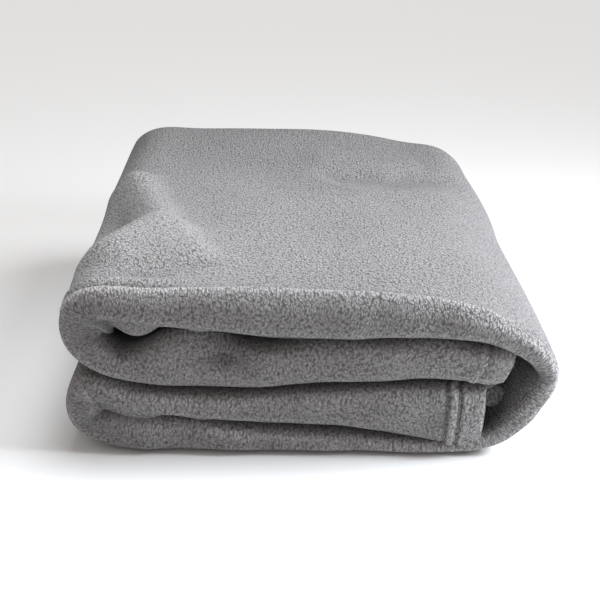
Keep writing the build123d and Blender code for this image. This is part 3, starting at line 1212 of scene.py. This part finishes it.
class HemStitcher:
    """Sews the two rows of every hem."""

    SUNK = 0.25 * MM  # how deep the middle of the thread lies in the pile

    def __init__(self, cloth: FoldedCloth, thread: bpy.types.Material) -> None:
        """Makes the one tree that all the rows share."""
        self.cloth = cloth
        self.faces = ((cloth.outer, cloth.outer_normals), (cloth.inner, cloth.inner_normals))
        self.sizes = StitchTree()
        self.tree = self.sizes.tree(thread)

    def _end_lines(self, last: bool) -> list[Array]:
        """The rows across one free end, on both faces of the cloth."""
        cloth, lines = self.cloth, []
        along = cloth.uv[:, 0, 0]
        for row in cloth.hem.rows:
            place = along[-1] - row if last else row
            column = int(np.argmin(np.abs(along - place)))
            for face, normals in self.faces:
                lines.append(face[column] - self.SUNK * normals[column])
        return lines

    def _side_lines(self, columns: slice) -> list[Array]:
        """The rows along both long hems within some columns, on both faces."""
        cloth, lines = self.cloth, []
        across = cloth.uv[..., 1]
        for row in cloth.hem.rows:
            for edge, way in ((0, 1.0), (-1, -1.0)):
                away = np.abs(way * (across - across[:, edge : edge + 1 or None]) - row)
                pick = (np.arange(len(away)), np.argmin(away, axis=1))
                for face, normals in self.faces:
                    lines.append((face[pick] - self.SUNK * normals[pick])[columns])
        return lines

    def sew(self, name: str, columns: slice, ends: tuple[bool, ...]) -> bpy.types.Object:
        """Sews the rows of one piece.

        Args:
            name: the name of the stitches' object.
            columns: the piece's columns.
            ends: False for the piece's own end hem at the start, True at the strip's far end.

        Returns:
            The stitches as one plain mesh.
        """
        lines = self._side_lines(columns)
        for last in ends:
            lines += self._end_lines(last)
        points, edges = [], []
        for line in lines:
            first = len(points)
            points.extend(line.tolist())
            edges.extend((first + k, first + k + 1) for k in range(len(line) - 1))
        mesh = bpy.data.meshes.new(name + "_lines")
        mesh.from_pydata(points, edges, [])
        guide = put(name + "_lines", mesh)
        modifier = guide.modifiers.new("stitches", "NODES")
        modifier.node_group = self.tree
        values = (self.sizes.pitch, self.sizes.length, self.sizes.thickness)
        items = self.tree.interface.items_tree
        identifiers = {item.name: item.identifier for item in items if item.in_out == "INPUT"}
        for label, value in zip(StitchTree.INPUTS, values):
            modifier[identifiers[label]] = value
        graph = bpy.context.evaluated_depsgraph_get()
        result = bpy.data.meshes.new_from_object(guide.evaluated_get(graph))
        guide.modifiers.remove(modifier)
        bpy.data.objects.remove(guide)
        result.name = name
        return put(name, result)


@dataclass(frozen=True)
class Piece:
    """One object of the throw: a stretch of the sheet's cloth, or the stitches on it.

    Args:
        name: the object's name.
        cuts: the first and the last of the sheet's pieces that it spans.
        nodes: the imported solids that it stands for.
        slot: the record's slot that its finish belongs to.
        ends: the free ends sewn with it, False for the lower one and True for the upper one.
    """

    name: str
    cuts: tuple[int, int]
    nodes: tuple[str, ...]
    slot: Slot = Slot.FLEECE
    ends: tuple[bool, ...] = ()


@dataclass
class ThrowPart:
    """A part of the folded throw: its cloth, and the stitches on it.

    Args:
        cloth: the sheet that it is cut from.
        stitcher: sews its hems.
        fleece: the cloth's material.
        sheet_length: the flat sheet's size along the strip; not used.
        sheet_width: its size across the strip; not used.
        flap_share: the share of the sheet's length in a flap.
        panel_share: the share of it in a panel.
    """

    cloth: FoldedCloth
    stitcher: HemStitcher
    fleece: bpy.types.Material
    sheet_length: float = 1.27
    sheet_width: float = 1.52
    flap_share: float = 0.21
    panel_share: float = 0.29

    def make(self, piece: Piece) -> bpy.types.Object:
        """Makes one piece and dresses it."""
        columns = self.cloth.columns.piece(*piece.cuts)
        if piece.slot is Slot.THREAD:
            made = self.stitcher.sew(piece.name, columns, piece.ends)
        else:
            made = ClothMesher(self.cloth).cut(piece.name, columns)
            made.data.materials.append(self.fleece)
        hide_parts(*piece.nodes)
        LOG.info("%s: %d faces", piece.name, len(made.data.polygons))
        return made

    def declare(self, sheet: bpy.types.Object, share: float, rests_on: list, on_it: list) -> None:
        """Takes a piece and its share of the sheet's length, and does nothing with them."""


@dataclass
class LowerHalf(ThrowPart):
    """The lower flap with its hemmed end, the lower turn, and the bottom up to mid-spine."""

    HEM = Piece("lower_hem_cloth", (0, 0), ("lower_end_hem",), Slot.HEM)
    FLAP = Piece("lower_flap_cloth", (1, 1), ("lower_flap", "lower_turn"))
    FLAP_STITCHES = Piece(
        "lower_flap_stitches", (0, 1),
        ("lower_end_hem_needle_threads", "lower_end_hem_looper_threads"), Slot.THREAD, (False,),
    )
    PANEL = Piece("lower_panel_cloth", (2, 2), ("bottom_panel", "lower_spine_bend"))
    PANEL_STITCHES = Piece(
        "lower_panel_stitches", (2, 2), ("lower_side_hem_threads",), Slot.THREAD
    )

    def build(self) -> bpy.types.Object:
        """Builds it, and gives back the flap, which the upper half rests on."""
        plan = (self.HEM, self.FLAP, self.FLAP_STITCHES, self.PANEL, self.PANEL_STITCHES)
        hem, flap, thread, panel, sewing = (self.make(piece) for piece in plan)
        for piece in (hem, flap, thread):
            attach(piece, Body.LOWER.value)
        for piece in (panel, sewing):
            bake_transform(piece)
        self.declare(panel, self.panel_share, [], [sewing])
        self.declare(flap, self.flap_share, [panel], [hem, thread])
        return flap


@dataclass
class UpperHalf(ThrowPart):
    """The top from mid-spine, the upper turn, and the upper flap with its hemmed end."""

    TOP = Piece("upper_panel_cloth", (3, 3), ("top_panel", "upper_spine_bend", "spine_bend"))
    TOP_STITCHES = Piece(
        "upper_panel_stitches", (3, 3), ("upper_side_hem_threads", "spine_side_hem_threads"),
        Slot.THREAD,
    )
    FLAP = Piece("upper_flap_cloth", (4, 4), ("upper_flap", "upper_turn"))
    HEM = Piece("upper_hem_cloth", (5, 5), ("upper_end_hem",), Slot.HEM)
    FLAP_STITCHES = Piece(
        "upper_flap_stitches", (4, 5),
        ("upper_end_hem_needle_threads", "upper_end_hem_looper_threads"), Slot.THREAD, (True,),
    )

    def build(self, below: bpy.types.Object) -> None:
        """Builds it on the piece that the upper flap rests on."""
        plan = (self.TOP, self.TOP_STITCHES, self.FLAP, self.HEM, self.FLAP_STITCHES)
        top, sewing, flap, hem, thread = (self.make(piece) for piece in plan)
        for piece in (top, sewing):
            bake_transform(piece)
        for piece in (flap, hem, thread):
            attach(piece, Body.UPPER.value)
        self.declare(flap, self.flap_share, [below], [hem, thread])
        self.declare(top, self.panel_share, [flap], [sewing])


@dataclass(frozen=True)
class Lamp:
    """A soft square lamp, placed from the middle of the throw.

    Args:
        name: the lamp's name.
        place: where it hangs.
        aim: what it points at.
        size: its side.
        power: its power in watts.
        colour: its colour.
    """

    name: str
    place: tuple[float, float, float]
    aim: tuple[float, float, float]
    size: float
    power: float
    colour: tuple[float, float, float]

    def hang(self, middle: Vector) -> None:
        """Hangs it round the throw's middle."""
        data = bpy.data.lights.new(self.name, "AREA")
        data.size, data.energy, data.color = self.size, self.power, self.colour
        lamp = put(self.name, data)
        lamp.location = middle + Vector(self.place)
        beam = middle + Vector(self.aim) - lamp.location
        lamp.rotation_euler = beam.to_track_quat("-Z", "Y").to_euler()


@dataclass(frozen=True)
class Studio:
    """The floor, the light and the camera.

    Args:
        focal: the lens, on a sensor of 36 millimetres.
        camera: the camera's place in millimetres.
        pitch: how far it looks down, in degrees.
        yaw: how far it looks to the left, in degrees.
        floor_reach: how far the floor reaches on each side.
        sky_colour: colour of the room's soft light.
        sky_strength: how strong that light is.
        window: the way to the window.
        window_strength: how strong its light is.
        window_spread: how wide the window looks, in degrees.
        window_colour: colour of its light.
        lamps: the two lamps.
    """

    focal: float = 69.0
    camera: tuple[float, float, float] = (-3.0, -828.0, 398.0)
    pitch: float = 24.0
    yaw: float = 0.3
    floor_reach: float = 6.0
    sky_colour: Colour = (1.0, 0.955, 0.92, 1.0)
    sky_strength: float = 0.41
    window: tuple[float, float, float] = (0.80, 0.10, 0.55)
    window_strength: float = 2.2
    window_spread: float = 36.0
    window_colour: tuple[float, float, float] = (0.97, 0.985, 1.0)
    lamps: tuple[Lamp, ...] = (
        Lamp("key", (0.46, -0.15, 0.27), (0.08, -0.10, 0.05), 0.24, 4.4, (0.88, 0.94, 1.0)),
        Lamp("fill", (-0.11, -0.12, 0.27), (-0.12, -0.11, 0.05), 0.14, 0.64, (0.94, 0.97, 1.0)),
    )

    def _floor(self, level: float) -> None:
        """Lays the floor under the throw."""
        mesh = bpy.data.meshes.new("floor")
        corners = [(-1, -1), (1, -1), (1, 1), (-1, 1)]
        points = [(x * self.floor_reach, y * self.floor_reach, level) for x, y in corners]
        mesh.from_pydata(points, [], [(0, 1, 2, 3)])
        mesh.materials.append(FloorFinish().material())
        put("floor", mesh)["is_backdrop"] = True

    def _sky(self) -> None:
        """Fills the room with soft white light."""
        world = bpy.data.worlds.new("room")
        world.use_nodes = True
        bpy.context.scene.world = world
        board = NodeBoard(world.node_tree)
        sockets = {"Color": self.sky_colour, "Strength": self.sky_strength}
        light = board.add("ShaderNodeBackground", {}, sockets)
        board.add("ShaderNodeOutputWorld", {}, {"Surface": light})

    def _sun(self) -> None:
        """Lets broad window light in."""
        data = bpy.data.lights.new("window", "SUN")
        data.energy, data.angle = self.window_strength, math.radians(self.window_spread)
        data.color = self.window_colour
        lamp = put("window", data)
        lamp.rotation_euler = (-Vector(self.window)).to_track_quat("-Z", "Y").to_euler()

    def _shoot(self) -> None:
        """Puts the camera in place."""
        data = bpy.data.cameras.new("camera")
        data.sensor_width, data.lens = 36.0, self.focal
        camera = put("camera", data)
        camera.location = Vector(self.camera) * MM
        camera.rotation_euler = (math.radians(90.0 - self.pitch), 0.0, math.radians(self.yaw))
        bpy.context.scene.camera = camera

    def build(self, low: Vector, high: Vector) -> None:
        """Sets everything up round the throw's box."""
        self._floor(low.z)
        self._sky()
        for lamp in self.lamps:
            lamp.hang(0.5 * (low + high))
        self._sun()
        bpy.context.scene.view_settings.view_transform = "Standard"
        self._shoot()


def main() -> None:
    """Builds the throw."""
    logging.basicConfig(level=logging.INFO, format="%(name)s: %(message)s")
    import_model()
    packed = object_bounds()
    low, high = (Vector(corner) for corner in packed)
    cloth = FoldedCloth(low, high)
    LOG.info("strip: %.3f m along, %d columns", cloth.route.length, len(cloth.columns.places))
    fleece = FleeceFinish().material()
    stitcher = HemStitcher(cloth, ThreadFinish().material())
    flap = LowerHalf(cloth, stitcher, fleece).build()
    UpperHalf(cloth, stitcher, fleece).build(flap)
    Studio().build(low, high)


if __name__ == "__main__":
    main()
